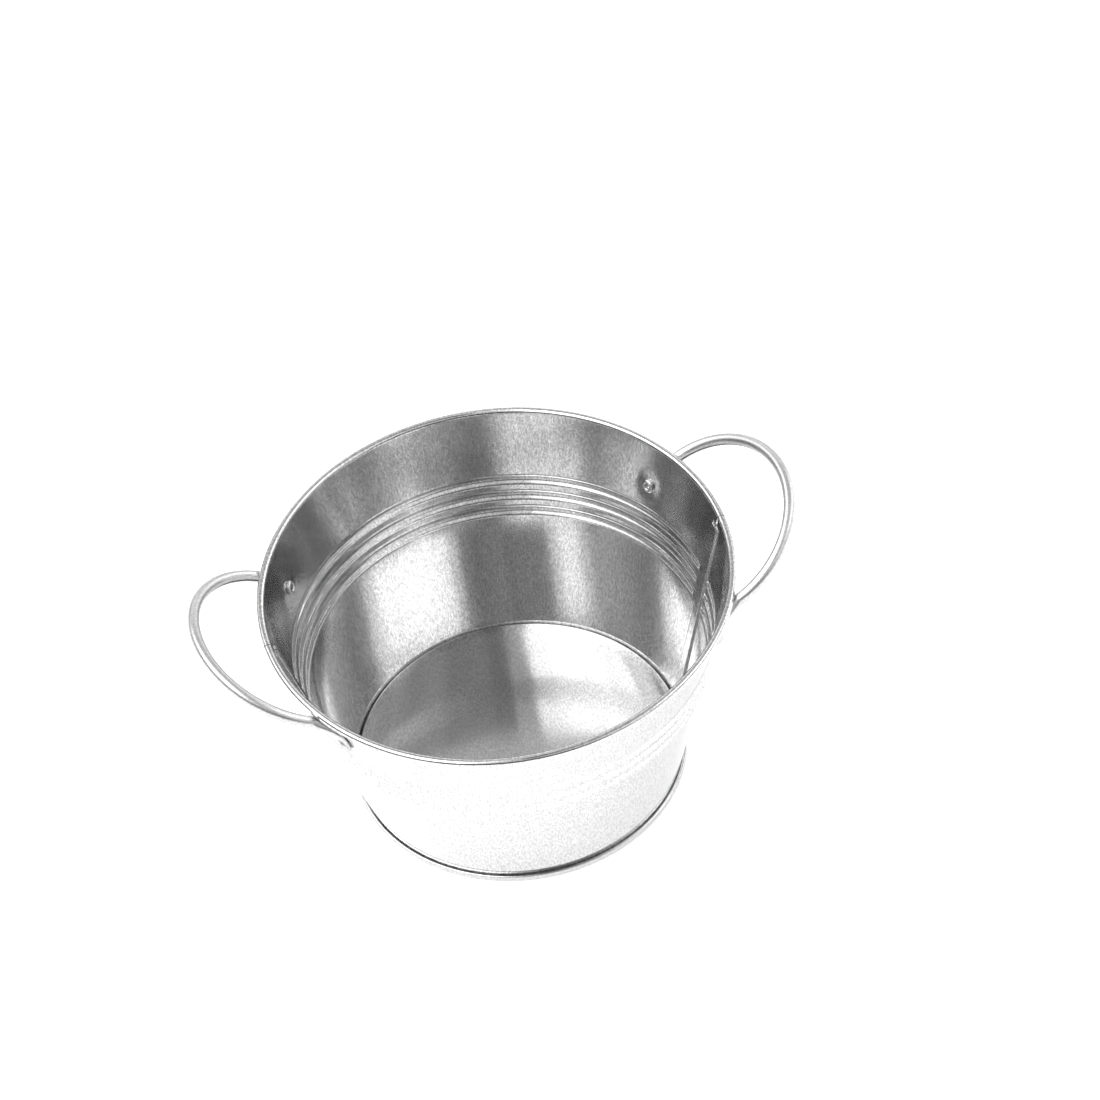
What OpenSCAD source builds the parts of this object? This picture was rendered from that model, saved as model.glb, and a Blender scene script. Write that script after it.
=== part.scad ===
// Florist bucket: a low tinned-steel bucket made of two half shells, a seamed-in
// base, a wired rim and two riveted tube handles. The handles lie along X, the
// bucket stands on Z = 0 and its axis is the Z axis.

/* [Bucket] */
// Diameter over the rolled rim
rim_d = 160; // [150:1:195]
// Height from the standing plane to the top of the rim
height = 88; // [72:1:110]
// Diameter over the foot ring
foot_d = 114; // [94:1:126]
// Thickness of the tinned sheet
sheet = 0.35; // [0.28:0.01:0.45]

/* [Rim] */
// Diameter over the rolled edge
curl_d = 2.8; // [2.3:0.1:3.4]
// Slit that the rolled edge leaves under itself
curl_slit = 0.5; // [0.3:0.1:0.6]

/* [Foot] */
// Height of the folded foot ring
ring_h = 2.4; // [2:0.1:3]
// Height of the floor above the standing plane
floor_h = 4.5; // [3.7:0.1:5.5]

/* [Beads] */
// Number of pressed beads round the wall
bead_count = 3; // [1:1:3]
// Distance from bead to bead
bead_pitch = 6; // [5:0.1:7.2]
// Height of the middle of the bead group
bead_mid_h = 55; // [45:0.5:58]
// Width of one bead
bead_w = 4.2; // [3.5:0.1:4.8]
// How far a bead stands out of the wall
bead_rise = 0.9; // [0.7:0.05:1.2]
// Plain wall between a side seam and the end of the beads
bead_stop = 4; // [3:0.5:8]

/* [Side seams] */
// Width of each folded side seam
seam_w = 4.6; // [3.8:0.1:5.6]
// Height of the notch between a seam and the rolled rim
seam_notch = 0.8; // [0.5:0.1:1]
// Gap where the rolled edges of the two shells meet
butt_gap = 0.3; // [0.2:0.05:0.4]

/* [Handles] */
// Diameter of the handle tube
tube_d = 4.1; // [3.5:0.1:4.8]
// Wall of the handle tube
tube_wall = 0.5; // [0.4:0.05:0.55]
// Distance between the two legs of a handle, centre to centre
leg_span = 68.8; // [58:0.2:70]
// How far the loop reaches out from its legs, in the loop's own plane
loop_reach = 32; // [26:0.5:40]
// Tilt of the loop above the horizontal
loop_tilt = 30; // [25:1:36]
// Gap between the tube and the rolled rim
rim_gap = 0.15; // [0.1:0.05:0.4]

/* [Rivets] */
// Angle between a rivet and the handle's middle, seen from above
rivet_angle = 30; // [25:0.5:32]
// Depth of the rivets below the top of the rim
rivet_drop = 16; // [14.5:0.1:19]
// Diameter of the rivet shank
rivet_d = 2.8; // [2.3:0.1:3]
// Diameter of the rivet's round head
head_d = 5.2; // [4.6:0.1:6.2]
// Height of the rivet's round head
head_h = 1.2; // [1:0.1:1.5]
// Diameter of the rolled tail inside the bucket
tail_d = 4.8; // [4.4:0.1:5.7]

/* [Clearances] */
// Gap between folded layers of sheet
fold_gap = 0.05; // [0.04:0.01:0.06]
// Radial gap between a rivet and its holes
hole_gap = 0.05; // [0.04:0.01:0.08]
// Radial gap between the rim wire and the rolled edge
wire_gap = 0.1; // [0.08:0.01:0.15]

/* [Hidden] */
$fn = 96;
tin = "silver";
tin_dark = "darkgray";
steel = "gainsboro";

rim_r = rim_d / 2;
foot_r = foot_d / 2;
layer = sheet + fold_gap;
far = rim_d;

// Radii of the rolled edge and of the wire in it
curl_r = curl_d / 2;
curl_mid_r = rim_r - curl_r;
curl_mid_h = height - curl_r;
slit_turn = 200;
wire_r = curl_r - sheet - wire_gap;

// The wall is a cone between the top of the foot ring and the rolled edge
knee_h = ring_h + fold_gap;
base_r = foot_r - 3 * layer - sheet;
wall_slope = (rim_r - curl_d - base_r) / (curl_mid_h - knee_h);
wall_lean = atan(wall_slope);
function wall_r(h) = base_r + wall_slope * (h - knee_h);

// A bead is an arc that meets the wall at both edges
bead_r = (bead_w * bead_w / 4 + bead_rise * bead_rise) / (2 * bead_rise);
bead_heights = [for (i = [0 : bead_count - 1])
    bead_mid_h + (i - (bead_count - 1) / 2) * bead_pitch];
bead_end_w = 1;
bead_end_y = seam_w / 2 + bead_stop;

// A side seam runs from just above the floor to the notch under the rim
seam_floor_gap = 0.5;
seam_foot_h = floor_h + seam_floor_gap;
curl_clear = 0.2;
seam_top_h = height - curl_d - seam_notch - curl_clear;
main_y = seam_w / 2 + fold_gap;

// Tube section where it is round and where it is pressed flat
tube_r = tube_d / 2;
flat_gap = 0.1;
flat_r = tube_wall + flat_gap / 2;
flat_half_w = PI * (tube_r - tube_wall / 2) / 2 + (1 - PI / 4) * tube_wall;
slit_angle = 6;
arc_steps = 9;

// Rivets sit square to the wall, through the wall and the flat end of the tube
rivet_h = height - rivet_drop;
rivet_r = wall_r(rivet_h) + sheet;
flat_below = 3.2;
flat_above = 3.6;
stand_off = 2 * flat_r + 2 * fold_gap;
hole_r = rivet_d / 2 + hole_gap;
tail_ring_r = 0.65;
tail_wall = 0.55;
rivet_bore_r = rivet_d / 2 - tail_wall;
rivet_bore_depth = 2.2;
shank_in_head = 0.3;

// The loop is half an oval; its legs start where the tube just clears the rolled rim
leg_y = leg_span / 2;
leg_clear = curl_r + tube_r + rim_gap;
leg_ray = 48;
leg_r = curl_mid_r + leg_clear * cos(leg_ray);
leg_h = curl_mid_h - leg_clear * sin(leg_ray);
leg_x = sqrt(leg_r * leg_r - leg_y * leg_y);
bend_in = 3.8;
bend_out = 2;

// Stations of the handle's sweep: shares of the rounded end, then steps of the bend and of the loop
end_shares = [0.02, 0.15, 0.4, 0.7, 1];
bend_steps = 10;
loop_steps = 15;
loop_step = 90 / loop_steps;

// ---- Profiles in the half plane of radius and height ----

module wall_strip(offset_r, low_h, high_h, thick = sheet) {
    polygon([
        [wall_r(low_h) + offset_r, low_h],
        [wall_r(low_h) + offset_r + thick, low_h],
        [wall_r(high_h) + offset_r + thick, high_h],
        [wall_r(high_h) + offset_r, high_h]
    ]);
}

module bead_arcs(radius) {
    for (h = bead_heights)
        translate([wall_r(h) + sheet - bead_r + bead_rise, h])
            circle(radius);
}

module inside_of_wall() {
    polygon([
        [0, knee_h],
        [wall_r(knee_h), knee_h],
        [wall_r(curl_mid_h), curl_mid_h],
        [0, curl_mid_h]
    ]);
}

// The whole section of a shell: plain, or with its beads hollow or filled
module shell_section(beads, hollow) {
    difference() {
        union() {
            wall_strip(0, knee_h, curl_mid_h);
            if (beads)
                bead_arcs(bead_r);
        }
        if (beads)
            inside_of_wall();
        if (beads && hollow)
            bead_arcs(bead_r - sheet);
    }
    rolled_edge();
    shell_hook();
}

module rolled_edge() {
    translate([curl_mid_r, curl_mid_h])
        difference() {
            circle(curl_r);
            circle(curl_r - sheet);
            rotate(slit_turn)
                square([curl_d, curl_slit]);
        }
}

module shell_hook() {
    low = sheet + fold_gap;
    translate([base_r, low])
        square([sheet, knee_h - low]);
    translate([base_r, low])
        square([2 * layer + sheet, sheet]);
    translate([base_r + 2 * layer, low])
        square([sheet, ring_h - sheet - fold_gap - low]);
}

module base_section() {
    inner_r = base_r - layer;
    hook_low = 2 * sheet + 2 * fold_gap;
    translate([0, floor_h - sheet])
        square([inner_r + sheet, sheet]);
    translate([inner_r, 0])
        square([sheet, floor_h]);
    translate([inner_r, 0])
        square([foot_r - inner_r, sheet]);
    translate([foot_r - sheet, 0])
        square([sheet, ring_h]);
    translate([base_r + layer, ring_h - sheet])
        square([foot_r - base_r - layer, sheet]);
    translate([base_r + layer, hook_low])
        square([sheet, ring_h - hook_low]);
}

// ---- Half shell, on the +Y side ----

module half_turn() {
    rotate_extrude(angle = 180)
        children();
}

// Keeps what lies between two planes of constant Y, on one side or on both sides of X = 0
module between_y(low_y, high_y, side = 0) {
    low_x = side > 0 ? 0 : -far;
    high_x = side < 0 ? 0 : far;
    intersection() {
        children();
        translate([low_x, low_y, -1])
            cube([high_x - low_x, high_y - low_y, height + 2]);
    }
}

module full_turn() {
    rotate_extrude()
        children();
}

// Folded edge of a shell: an outer layer (way = 1) or an inner one (way = -1), with its hook
module seam_edge(side, way) {
    out_off = way * 1.5 * layer;
    hook_off = -way * 0.5 * layer;
    step_low = min(0, out_off);
    fold_low = min(out_off, hook_off);
    between_y(-seam_w / 2, main_y + sheet, side)
        full_turn() seam_strip(out_off);
    between_y(main_y, main_y + sheet, side)
        full_turn() seam_strip(step_low, abs(out_off));
    between_y(-seam_w / 2, -seam_w / 2 + sheet, side)
        full_turn() seam_strip(fold_low, 2 * layer);
    between_y(-seam_w / 2, seam_w / 2 - layer, side)
        full_turn() seam_strip(hook_off);
}

// Section of one layer of a seam, or of the riser that joins layers this far apart
module seam_strip(offset_r, apart = 0) {
    wall_strip(offset_r, seam_foot_h, seam_top_h, apart + sheet);
}

module half_shell() {
    difference() {
        between_y(bead_end_y, far)
            half_turn() shell_section(true, true);
        for (angle = [rivet_angle, 180 - rivet_angle])
            at_rivet(angle)
                cylinder(r = hole_r, h = 4 * sheet + bead_rise, center = true);
    }
    between_y(bead_end_y - bead_end_w, bead_end_y)
        half_turn() shell_section(true, false);
    difference() {
        between_y(butt_gap / 2, bead_end_y - bead_end_w)
            half_turn() shell_section(false, false);
        translate([-far, -1, seam_foot_h - seam_notch])
            cube([2 * far, main_y + 1, seam_top_h - seam_foot_h + 2 * seam_notch]);
    }
    seam_edge(1, 1);
    seam_edge(-1, -1);
}

// Places children on the outer face of the wall, +Z pointing out and square to it
module at_rivet(angle) {
    rotate(angle)
        translate([rivet_r, 0, rivet_h])
            rotate([0, 90 + wall_lean, 0])
                children();
}

// ---- Handle: a rolled tube along half an oval, pressed flat at both ends ----

function unit(v) = v / norm(v);
function blend(a, b, s) = a * (1 - s) + b * s;
function ease(s) = s * s * (3 - 2 * s);

wall_out = [cos(wall_lean) * cos(rivet_angle), cos(wall_lean) * sin(rivet_angle), -sin(wall_lean)];
wall_up = [sin(wall_lean) * cos(rivet_angle), sin(wall_lean) * sin(rivet_angle), cos(wall_lean)];
rivet_point = [rivet_r * cos(rivet_angle), rivet_r * sin(rivet_angle), rivet_h];
flat_mid = rivet_point + wall_out * (fold_gap + flat_r);
loop_out = [cos(loop_tilt), 0, sin(loop_tilt)];
loop_under = [sin(loop_tilt), 0, -cos(loop_tilt)];
loop_mid = [leg_x, 0, leg_h];

// Each station is [point, direction, outward face normal, pressed flat 0 to 1, width 0 to 1]
function flat_end(s) = let (run = s * flat_half_w, left = 1 - s)
    [flat_mid + wall_up * (run - flat_below), wall_up, wall_out, 1, sqrt(1 - left * left)];

bend_a = flat_mid + wall_up * flat_above;
bend_b = bend_a + wall_up * bend_in;
bend_d = loop_mid + [0, leg_y, 0];
bend_c = bend_d - loop_out * bend_out;
function bend(s) = let (
        r = 1 - s,
        point = r * r * r * bend_a + 3 * r * r * s * bend_b + 3 * r * s * s * bend_c + s * s * s * bend_d,
        way = r * r * (bend_b - bend_a) + 2 * r * s * (bend_c - bend_b) + s * s * (bend_d - bend_c)
    )
    [point, unit(way), unit(blend(wall_out, loop_under, pow(ease(s), 3))), 1 - ease(s), 1];

function loop_at(angle) =
    [loop_mid + loop_reach * cos(angle) * loop_out + [0, leg_y * sin(angle), 0],
     unit(loop_reach * sin(angle) * loop_out - [0, leg_y * cos(angle), 0]),
     loop_under, 0, 1];

function mirrored(s) = [
    [s[0].x, -s[0].y, s[0].z],
    [-s[1].x, s[1].y, -s[1].z],
    [s[2].x, -s[2].y, s[2].z],
    s[3], s[4]];

half_way = concat(
    [for (s = end_shares) flat_end(s)],
    [for (i = [0 : bend_steps - 1]) bend(i / bend_steps)],
    [for (i = [0 : loop_steps - 1]) loop_at(90 - i * loop_step)]);
last = len(half_way) - 1;
stations = concat(half_way, [loop_at(0)], [for (i = [last : -1 : 0]) mirrored(half_way[i])]);

// Outline of the pressed or round tube, inset by a wall, from one edge of its slit to the other
function ring_2d(press, width, inset) = let (
        thick = blend(tube_r, flat_r, press) - inset,
        wide = width * (blend(tube_r, flat_half_w, press) - inset),
        straight = max(0, wide - thick)
    )
    [for (i = [0 : 2 * arc_steps - 1]) let (
            angle = -180 + slit_angle + (i + 0.5) * (360 - 2 * slit_angle) / (2 * arc_steps)
        )
        [sign(cos(angle)) * straight + thick * cos(angle), thick * sin(angle)]];

function section(press, width) = concat(
    ring_2d(press, width, 0),
    let (inner = ring_2d(press, width, tube_wall))
        [for (i = [len(inner) - 1 : -1 : 0]) inner[i]]);

function place(station) = let (
        along = station[1],
        under = unit(station[2] - along * (station[2] * along)),
        side = cross(along, under)
    )
    [for (p = section(station[3], station[4])) station[0] + side * p.x + under * p.y];

module handle() {
    rings = [for (s = stations) place(s)];
    n = len(rings[0]);
    count = len(rings);
    half = n / 2;
    sides = [for (k = [0 : count - 2], i = [0 : n - 1]) let (j = (i + 1) % n, a = k * n, b = a + n)
        [a + i, a + j, b + j, b + i]];
    ends = [for (i = [0 : half - 2]) let (o = n - 1 - i)
        each [[i, o, o - 1, i + 1],
              [for (v = [i + 1, o - 1, o, i]) v + (count - 1) * n]]];
    difference() {
        polyhedron(points = [for (r = rings) each r], faces = concat(sides, ends), convexity = 8);
        for (angle = [rivet_angle, -rivet_angle])
            at_rivet(angle)
                cylinder(r = hole_r, h = 3 * stand_off, center = true);
    }
}

// ---- Rivet: round head outside, rolled tail inside ----

module rivet() {
    tail_face = sheet + 2 * fold_gap;
    dome_r = (head_d * head_d / 4 + head_h * head_h) / (2 * head_h);
    tail_mid_r = tail_d / 2 - tail_ring_r;
    rotate_extrude()
        difference() {
            union() {
                intersection() {
                    translate([0, stand_off + head_h - dome_r])
                        circle(dome_r);
                    translate([0, stand_off])
                        square([head_d, head_h]);
                }
                translate([0, -tail_face - tail_ring_r])
                    square([rivet_d / 2, stand_off + tail_face + tail_ring_r + shank_in_head]);
                translate([tail_mid_r, -tail_face - tail_ring_r])
                    circle(tail_ring_r);
            }
            translate([0, -tail_face - 2 * tail_ring_r - 1])
                square([rivet_bore_r, rivet_bore_depth + 1]);
            translate([-far, -far])
                square([far, 2 * far]);
        }
}

// ---- Sub-parts ----

module back_shell() {
    color(tin)
        half_shell();
}

module front_shell() {
    color(tin)
        rotate(180)
            half_shell();
}

module base_pan() {
    color(tin_dark)
        full_turn() base_section();
}

module rim_wire() {
    color(steel)
        full_turn()
            translate([curl_mid_r, curl_mid_h])
                circle(wire_r);
}

module right_handle() {
    color(steel)
        handle();
}

module left_handle() {
    color(steel)
        rotate(180)
            handle();
}

module rivet_at(angle) {
    color(steel)
        at_rivet(angle)
            rivet();
}

module rivet_right_back() {
    rivet_at(rivet_angle);
}

module rivet_right_front() {
    rivet_at(-rivet_angle);
}

module rivet_left_back() {
    rivet_at(180 - rivet_angle);
}

module rivet_left_front() {
    rivet_at(180 + rivet_angle);
}

front_shell();
back_shell();
base_pan();
rim_wire();
left_handle();
right_handle();
rivet_left_front();
rivet_left_back();
rivet_right_front();
rivet_right_back();
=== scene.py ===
"""Looks of a florist bucket: tinned sheet shells, a seamed base, riveted tube handles and a plain studio."""

import math

import bpy
import numpy as np
from bpy.props import FloatProperty, FloatVectorProperty, IntProperty, PointerProperty
from mathutils import Matrix, Vector


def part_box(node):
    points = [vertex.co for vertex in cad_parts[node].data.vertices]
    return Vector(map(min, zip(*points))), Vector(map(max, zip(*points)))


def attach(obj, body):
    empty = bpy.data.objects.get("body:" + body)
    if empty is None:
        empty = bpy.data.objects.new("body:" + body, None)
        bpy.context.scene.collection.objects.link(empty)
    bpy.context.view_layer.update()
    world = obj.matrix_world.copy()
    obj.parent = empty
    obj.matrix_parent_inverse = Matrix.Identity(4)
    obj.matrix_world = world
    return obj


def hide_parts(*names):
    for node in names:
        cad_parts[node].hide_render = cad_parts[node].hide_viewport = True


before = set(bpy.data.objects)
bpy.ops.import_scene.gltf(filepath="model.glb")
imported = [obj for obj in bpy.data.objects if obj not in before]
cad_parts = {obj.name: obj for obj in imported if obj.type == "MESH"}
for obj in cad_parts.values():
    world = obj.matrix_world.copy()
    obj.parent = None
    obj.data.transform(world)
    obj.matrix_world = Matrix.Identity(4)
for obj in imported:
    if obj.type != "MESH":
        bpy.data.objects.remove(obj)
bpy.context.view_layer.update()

bl_info = {
    "name": "Florist Bucket",
    "version": (1, 0, 0),
    "blender": (4, 5, 0),
    "location": "3D View > Sidebar > Bucket",
    "description": "Makes a florist bucket of tinned sheet, with handles and rivets, round its fixed frame",
    "category": "Object",
}

BODY = "root"
MM = 0.001

# Metres: radius of the small circle that a section is swept round, and the gap closed where its ends meet
PATH_R = 1e-4
MERGE = 2e-6

# Sockets of a Mix node that take its two colours, and the one that gives the result
COLOUR_A, COLOUR_B, COLOUR_OUT = 6, 7, 2

WHITE = (1, 1, 1, 1)

# Millimetres: sizes of the patterns that all the metals share
SPECKLE = 0.6
CLOUD = 14
WAVE = 30

# Millimetres: half of the gap left inside a tube that is pressed flat
FLAT_GAP = 0.05

# Brightness of the floor's own light, and of a panel whose share is full
FLOOR_GLOW = 0.42
PANEL_TOP = 12

# How many times light is followed from wall to wall, because the bucket's inside is bright all round
WALL_BOUNCES = 12

# Rings of soft light panels: middle and reach in degrees above the floor, then the brightness of each panel,
# from behind, round by the left (-X), the front and the right (+X); the panels of a ring are equally wide
PANELS = (
    (0, 22, (0.1, 0.1, 0.1, 0.1, 0.1, 0.1, 0.1, 0.1, 0.1, 0.1, 0.1, 0.1, 0.1, 0.1, 0.1,
             0.1, 0.1, 0.3, 0.5, 1.2, 1.9, 2, 1.7, 1.2, 0.9, 0.2, 0.1, 0.1, 0.1, 0.2)),
    (22, 22, (1.4, 0.8, 1.2, 1.1, 0.3, 0.1, 0.1, 0.1, 0.1, 0.1, 0.1, 0.1, 0.1, 0.1, 0.1,
             0.1, 0.3, 0.6, 1, 0.7, 0.1, 0.2, 0.6, 1.8, 2.8, 2.3, 1.4, 1.4, 1.6, 1.9)),
    (44, 22, (0.6, 0.8, 2.2, 4.2, 4.2, 4.6, 4.5, 4.4, 3.6, 4.1, 3.3, 2.1, 1, 0.7, 0.8,
             1, 1.1, 1.3, 1.4, 1.5, 2.2, 3.7, 4.1, 2.4, 0.7, 0.6, 0.6, 0.5, 0.5, 0.4)),
    (66, 24, (0.1, 1, 2.7, 3.8, 4.6, 4.1, 0.9, 0.1, 0.3, 0.3, 0.5, 0.4, 0.5, 0.6, 1.1)),
    (90, 24, (0.6,)),
)


# ---- Small helpers ----

def linear(code):
    """The linear colour of an sRGB hex value such as C8CCCF."""
    shares = [int(code[i:i + 2], 16) / 255 for i in (0, 2, 4)]
    return tuple(c / 12.92 if c <= 0.04045 else ((c + 0.055) / 1.055) ** 2.4 for c in shares)


def add(tree, kind, inputs=(), **settings):
    """Adds a node, sets its own settings, then sets each input to a value or links it from an output."""
    node = tree.nodes.new(kind)
    for name, value in settings.items():
        setattr(node, name, value)
    for key, value in dict(inputs).items():
        if isinstance(value, bpy.types.NodeSocket):
            tree.links.new(value, node.inputs[key])
        else:
            node.inputs[key].default_value = value
    return node


def ease(t):
    """Goes from 0 to 1 with level ends as t goes from 0 to 1."""
    t = np.clip(t, 0, 1)
    return t * t * (3 - 2 * t)


def unit(v):
    """The same directions with a length of one."""
    return v / np.linalg.norm(v, axis=-1, keepdims=True)


def arc(middle, radius, start, end, count):
    """Points on an arc in the plane of radius and height, from one angle to another in degrees."""
    angles = np.radians(np.linspace(start, end, count))
    return np.column_stack([middle[0] + radius * np.cos(angles), middle[1] + radius * np.sin(angles)])


def size(name, description, mm):
    """A length that is given in millimetres."""
    return FloatProperty(name=name, description=description, default=mm * MM, min=0, precision=5,
                         unit="LENGTH", subtype="DISTANCE")


def colour(name, description, code):
    """A colour that is given as an sRGB hex value."""
    return FloatVectorProperty(name=name, description=description, default=linear(code), min=0, max=1,
                               size=3, subtype="COLOR")


def turn(name, description, degrees):
    """An angle that is given in degrees."""
    return FloatProperty(name=name, description=description, default=math.radians(degrees), subtype="ANGLE")


# ---- What a user would change ----

class BucketSheetSizes(bpy.types.PropertyGroup):
    """Sizes of the sheet and of what is formed in it."""
    sheet: size("Sheet", "Thickness of the tinned sheet", 0.35)
    curl: size("Rolled rim", "Diameter over the rolled edge", 2.8)
    ring: size("Foot ring", "Height of the folded foot ring", 2.4)
    fold_gap: size("Fold gap", "Gap between folded layers of sheet", 0.05)
    bead_middle: size("Bead height", "Height of the middle of the bead group", 55)
    bead_pitch: size("Bead spacing", "Distance from bead to bead", 6)
    bead_width: size("Bead width", "Width of one pressed bead", 4.4)
    bead_rise: size("Bead rise", "How far a bead stands out of the wall", 0.9)
    bead_count: IntProperty(name="Beads", description="Number of pressed beads", default=3, min=1, max=3)
    seam: size("Seam width", "Width of each folded side seam", 4.6)
    notch: size("Seam notch", "Opening left under the rim where the two shells meet", 0.7)
    dimple: size("Rivet dimple", "How far the wall is drawn out round a rivet", 0.22)


class BucketHandleSizes(bpy.types.PropertyGroup):
    """Sizes of the handles and of their rivets."""
    tube: size("Tube", "Diameter of the handle tube", 4.06)
    tube_wall: size("Tube wall", "Wall of the handle tube", 0.5)
    leg_span: size("Leg span", "Distance between the two legs of a handle", 68.8)
    rim_gap: size("Rim gap", "Gap between the tube and the rolled rim", 0.17)
    shank: size("Rivet shank", "Diameter of the rivet shank", 2.8)
    head: size("Rivet head", "Diameter of the rivet's round head", 5.2)
    head_rise: size("Head height", "Height of the rivet's round head", 1.2)
    tail: size("Rivet tail", "Diameter of the rolled tail inside the bucket", 4.8)


class BucketFinishes(bpy.types.PropertyGroup):
    """Colours of the metals and of the floor."""
    tinned: colour("Tinned sheet", "Colour of the tinned wall", "E2E2E2")
    tinned_dull: colour("Dull tin", "Colour of the tin's duller spangle", "B8B8B8")
    base: colour("Base sheet", "Colour of the base pan", "D8D8D8")
    base_dull: colour("Dull base", "Colour of the base pan's duller spangle", "BCBCBC")
    tube: colour("Handle tube", "Colour of the drawn handle tube", "D4D4D4")
    rivet: colour("Rivet", "Colour of the rivets and the rim wire", "CECECE")
    floor: colour("Floor", "Colour of the pale floor", "F8F8F8")


class BucketView(bpy.types.PropertyGroup):
    """Where the camera stands and what it aims at."""
    distance: size("Distance", "Distance of the camera from the bucket's middle", 2023.9)
    azimuth: turn("Azimuth", "Angle of the camera round the bucket, from straight in front", -10)
    elevation: turn("Elevation", "Angle of the camera above the horizon", 48.12)
    roll: turn("Roll", "Turn of the camera about its own axis", -8.516)
    middle: size("Middle", "Height of the point that the camera turns about", 45)
    aim_right: size("Aim right", "How far right of that point the camera aims", 14.01)
    aim_up: size("Aim up", "How far above that point the camera aims", 38.84)
    lens: FloatProperty(name="Lens", description="Focal length of the camera", default=196.99,
                        subtype="DISTANCE_CAMERA")


# ---- Materials ----

def principled(name):
    """A new material, its tree, its Principled shader and the object's own coordinates in metres."""
    made = bpy.data.materials.new(name)
    made.use_nodes = True
    tree = made.node_tree
    tree.nodes.clear()
    shader = add(tree, "ShaderNodeBsdfPrincipled")
    add(tree, "ShaderNodeOutputMaterial", {"Surface": shader.outputs[0]})
    place = add(tree, "ShaderNodeTexCoord").outputs["Object"]
    return made, tree, shader, place


def plated_metal(name, bright, dull, roughness, spread, grain, stretch, relief, wave=0.0):
    """Plated metal: speckle in colour and gloss, drawn grain and a faint relief; sizes in millimetres."""
    made, tree, shader, place = principled(name)
    shader.inputs["Metallic"].default_value = 1
    along = add(tree, "ShaderNodeMapping", {"Vector": place, "Scale": stretch})
    drawn = add(tree, "ShaderNodeTexNoise", {
        "Vector": along.outputs[0], "Scale": 1 / (grain * MM), "Detail": 3, "Roughness": 0.6})
    speckle = add(tree, "ShaderNodeTexNoise", {
        "Vector": place, "Scale": 1 / (SPECKLE * MM), "Detail": 3, "Roughness": 0.7})
    cloud = add(tree, "ShaderNodeTexNoise", {"Vector": place, "Scale": 1 / (CLOUD * MM), "Detail": 2})
    mixed = add(tree, "ShaderNodeMix", {"Factor": 0.5, "A": drawn.outputs[0], "B": speckle.outputs[0]})
    tone = add(tree, "ShaderNodeMapRange", {"Value": mixed.outputs[0], "From Min": 0.42, "From Max": 0.58})
    paint = add(tree, "ShaderNodeMix", {
        "Factor": tone.outputs[0], COLOUR_A: (*dull, 1), COLOUR_B: (*bright, 1)}, data_type="RGBA")
    tree.links.new(paint.outputs[COLOUR_OUT], shader.inputs["Base Color"])
    worn = add(tree, "ShaderNodeMix", {"Factor": 0.35, "A": mixed.outputs[0], "B": cloud.outputs[0]})
    gloss = add(tree, "ShaderNodeMapRange", {
        "Value": worn.outputs[0], "From Min": 0.35, "From Max": 0.65,
        "To Min": roughness + spread, "To Max": roughness - spread})
    tree.links.new(gloss.outputs[0], shader.inputs["Roughness"])
    bump = add(tree, "ShaderNodeBump", {
        "Strength": 1, "Distance": relief * MM, "Height": mixed.outputs[0]})
    if wave:
        broad = add(tree, "ShaderNodeTexNoise", {"Vector": place, "Scale": 1 / (WAVE * MM), "Detail": 1})
        bump = add(tree, "ShaderNodeBump", {
            "Strength": 1, "Distance": wave * MM, "Height": broad.outputs[0], "Normal": bump.outputs[0]})
    tree.links.new(bump.outputs[0], shader.inputs["Normal"])
    return made


def material(name):
    """One of the bucket's materials, made when it is first asked for."""
    found = bpy.data.materials.get(name)
    if found:
        return found
    finish = bpy.context.scene.bucket_finishes
    if name == "tinned_sheet_rolled":
        # Electroplated tinned sheet, cold rolled: satin, with a fine upright grain and soft, slightly wavy
        # reflections. The real grain and spangle are about 0.1 mm, and are drawn coarser so that they show.
        return plated_metal(name, finish.tinned, finish.tinned_dull, roughness=0.1, spread=0.03,
                            grain=0.5, stretch=(1, 1, 0.15), relief=0.006, wave=0.2)
    if name == "tinned_base_sheet":
        # The same sheet lying flat, a little duller: its rolling grain runs one way, and is drawn as coarse.
        return plated_metal(name, finish.base, finish.base_dull, roughness=0.15, spread=0.03,
                            grain=0.5, stretch=(1, 0.3, 1), relief=0.005, wave=0.12)
    if name == "drawn_steel_tube":
        # Plated steel strip drawn into a tube: smooth and satin, its faint speckle drawn coarser than real.
        return plated_metal(name, finish.tube, finish.base_dull, roughness=0.34, spread=0.05,
                            grain=0.7, stretch=(1, 1, 1), relief=0.006)
    if name == "rivet_steel_headed":
        # Cold-headed plated steel: a soft gleam on the crown, and the die's speckle drawn coarser than real.
        return plated_metal(name, finish.rivet, finish.base_dull, roughness=0.28, spread=0.06,
                            grain=0.5, stretch=(1, 1, 1), relief=0.008)
    if name == "floor_opal_acrylic":
        # Opal acrylic lit from below: matt white, with the faintest mottle, about 125 mm across.
        made, tree, shader, place = principled(name)
        mottle = add(tree, "ShaderNodeTexNoise", {"Vector": place, "Scale": 1 / (125 * MM), "Detail": 2})
        paint = add(tree, "ShaderNodeMix", {
            "Factor": mottle.outputs[0], COLOUR_A: (*finish.floor, 1), COLOUR_B: WHITE}, data_type="RGBA")
        tree.links.new(paint.outputs[COLOUR_OUT], shader.inputs["Base Color"])
        shader.inputs["Roughness"].default_value = 0.9
        shader.inputs["Emission Color"].default_value = WHITE
        shader.inputs["Emission Strength"].default_value = FLOOR_GLOW
        return made
    raise ValueError(f"there is no material named {name}")


# ---- Node trees that make meshes ----

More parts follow.
